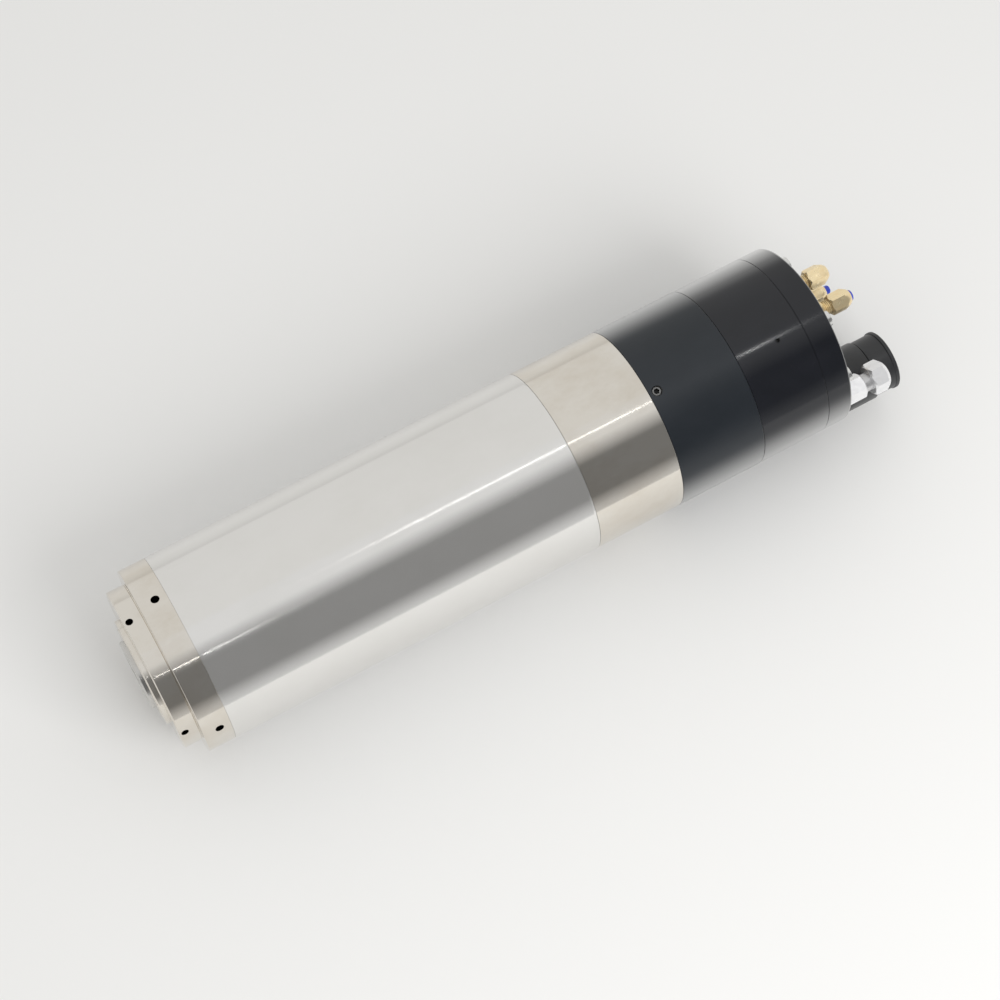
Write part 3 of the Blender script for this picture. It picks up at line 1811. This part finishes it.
@dataclass
class Studio:
    """Pale floor, even surroundings, a screen with one dark band, and the lamps.

    The screen is an arc of (degrees from overhead towards the near side, metres away), and its
    tones are (the same degrees, colour).
    """

    floor_z: float = -50.0
    floor_half: float = 6.0
    floor_tone: Colour = (0.83, 0.83, 0.825)
    floor_roughness: float = 0.9
    air_tone: Colour = (0.79, 0.785, 0.77)
    key_place: Place = (0.45, -0.95, 0.8)
    key_aim: Place = (200.0, 0.0, 0.0)
    key_size: Pair = (0.7, 0.7)
    key_power: float = 6.9
    tubes: tuple[Tube, ...] = (
        Tube(
            "nose_tube", (0.045, -0.757, 1.110), (0.140, -0.7586, 1.1125),
            (20.0, -24.0, 44.0), 0.017,
        ),
        Tube(
            "body_tube", (0.3186, -0.2602, 1.3111), (0.6306, -0.2537, 1.2778),
            (210.0, -14.0, 48.0), 0.04,
        ),
        Tube(
            "ring_tube", (0.727, -0.2505, 1.2610), (0.760, -0.2495, 1.2571),
            (347.0, -14.0, 48.0), 0.13,
        ),
    )
    screen_half: float = 3.0
    screen_arc: tuple[Pair, ...] = (
        (0.0, 1.5), (15.0, 1.5), (30.0, 1.5), (45.0, 1.5), (60.0, 1.5), (68.0, 1.4), (76.0, 1.15),
        (84.0, 0.8), (90.0, 0.55), (94.0, 0.42), (98.25, 0.349),
    )
    screen_reach: float = 120.0
    screen_tones: tuple[tuple[float, Colour], ...] = (
        (20.0, (0.8, 0.8, 0.8)), (40.0, (0.2, 0.2, 0.2)), (80.0, (0.2, 0.2, 0.2)),
        (95.0, (0.6, 0.6, 0.6)),
    )

    def _stand(
        self,
        name: str,
        points: Sequence[Place],
        faces: Sequence[tuple[int, ...]],
        material: bpy.types.Material,
    ) -> bpy.types.Object:
        """Put a plain surface into the scene as a part of the stage.

        Args:
            name: its name.
            points: its points in metres.
            faces: which points each face joins.
            material: its material.

        Returns:
            The object.
        """
        mesh = bpy.data.meshes.new(name)
        mesh.from_pydata(points, [], faces)
        mesh.materials.append(material)
        obj = new_object(name, mesh)
        return obj

    def floor(self) -> None:
        """Wide pale floor."""
        half = self.floor_half
        board = Board("floor")
        tone = (*self.floor_tone, 1.0)
        board.set(Base_Color=tone, Roughness=self.floor_roughness, Specular_IOR_Level=0.0)
        corners = [(-half, -half, 0.0), (half, -half, 0.0), (half, half, 0.0), (-half, half, 0.0)]
        obj = self._stand("floor", corners, [(0, 1, 2, 3)], board.material)
        obj.location.z = self.floor_z * MM

    def air(self) -> None:
        """Even light from all round."""
        world = bpy.data.worlds.new("studio")
        bpy.context.scene.world = world
        world.use_nodes = True
        world.node_tree.nodes["Background"].inputs["Color"].default_value = (*self.air_tone, 1.0)

    def _screen_glow(self) -> bpy.types.Material:
        """Glow of the screen: pale, with one soft dark band along the near side."""
        board = Board("screen", "Emission")
        split = board.add("SeparateXYZ", Vector=board.place).outputs
        near = board.mixed("MULTIPLY", split["Y"], -1.0)
        turn = board.mixed("ARCTAN2", near, split["Z"])
        reach = board.ranged(turn, 0.0, math.radians(self.screen_reach), 0.0, 1.0)
        stops = [(angle / self.screen_reach, tone) for angle, tone in self.screen_tones]
        board.set(Color=board.ramp(reach, stops))
        return board.material

    def screen(self) -> None:
        """Curved screen along the near side, from overhead down to the floor."""
        points = []
        for angle, reach in self.screen_arc:
            turn = math.radians(angle)
            for x in (-self.screen_half, self.screen_half):
                points.append((x, -reach * math.sin(turn), reach * math.cos(turn)))
        faces = [(i, i + 1, i + 3, i + 2) for i in range(0, len(points) - 2, 2)]
        obj = self._stand("screen", points, faces, self._screen_glow())
        obj.visible_camera = False
        obj.visible_diffuse = False
        obj.visible_shadow = False

    def key(self) -> None:
        """Soft lamp from the near side, which bright metal doesn't mirror."""
        place = Vector(self.key_place)
        obj = area_lamp("key", self.key_size, self.key_power)
        obj.location = place
        aim = Vector(self.key_aim) * MM
        obj.rotation_euler = (aim - place).to_track_quat("-Z", "Y").to_euler()
        obj.visible_glossy = False

    def build(self) -> None:
        """Set the stage, with one soft lamp and the narrow tubes that draw the bright lines."""
        self.floor()
        self.air()
        self.screen()
        self.key()
        for tube in self.tubes:
            tube.hang()


@dataclass
class Viewpoint:
    """Camera of the main view, its place in millimetres."""

    place: Place = (-27.62, -416.76, 1100.09)
    azimuth: float = -29.239
    elevation: float = 66.813
    lens: float = 84.76
    sensor_width: float = 36.0
    clip_end: float = 50.0

    def build(self) -> None:
        """Put the camera in place and make it the scene's own."""
        data = bpy.data.cameras.new("main_view")
        data.lens = self.lens
        data.sensor_width = self.sensor_width
        data.clip_end = self.clip_end
        camera = new_object("main_view", data)
        a, e = math.radians(self.azimuth), math.radians(self.elevation)
        back = Vector((math.sin(a) * math.cos(e), -math.cos(a) * math.cos(e), math.sin(e)))
        right = Vector((math.cos(a), math.sin(a), 0.0))
        turn = Matrix((right, back.cross(right), back)).transposed().to_4x4()
        camera.matrix_world = Matrix.Translation(Vector(self.place) * MM) @ turn
        bpy.context.scene.camera = camera


def main() -> None:
    """Build the spindle's visible pieces, its finishes and the studio."""
    logging.basicConfig(level=logging.INFO, format="%(name)s: %(message)s")
    bpy.context.scene.view_settings.view_transform = "Standard"
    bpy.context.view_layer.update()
    paints = Paintbox()
    shown: set[str] = set()
    for assembly in (Nose(), Barrel(), RearCap(), Unions(), AirFitting(), Connector()):
        for piece in assembly.pieces():
            piece.mount(paints)
            shown.update(piece.nodes)
    InnerWorks(frame).dress(paints, shown)
    Studio().build()
    Viewpoint().build()


if __name__ == "__main__":
    main()
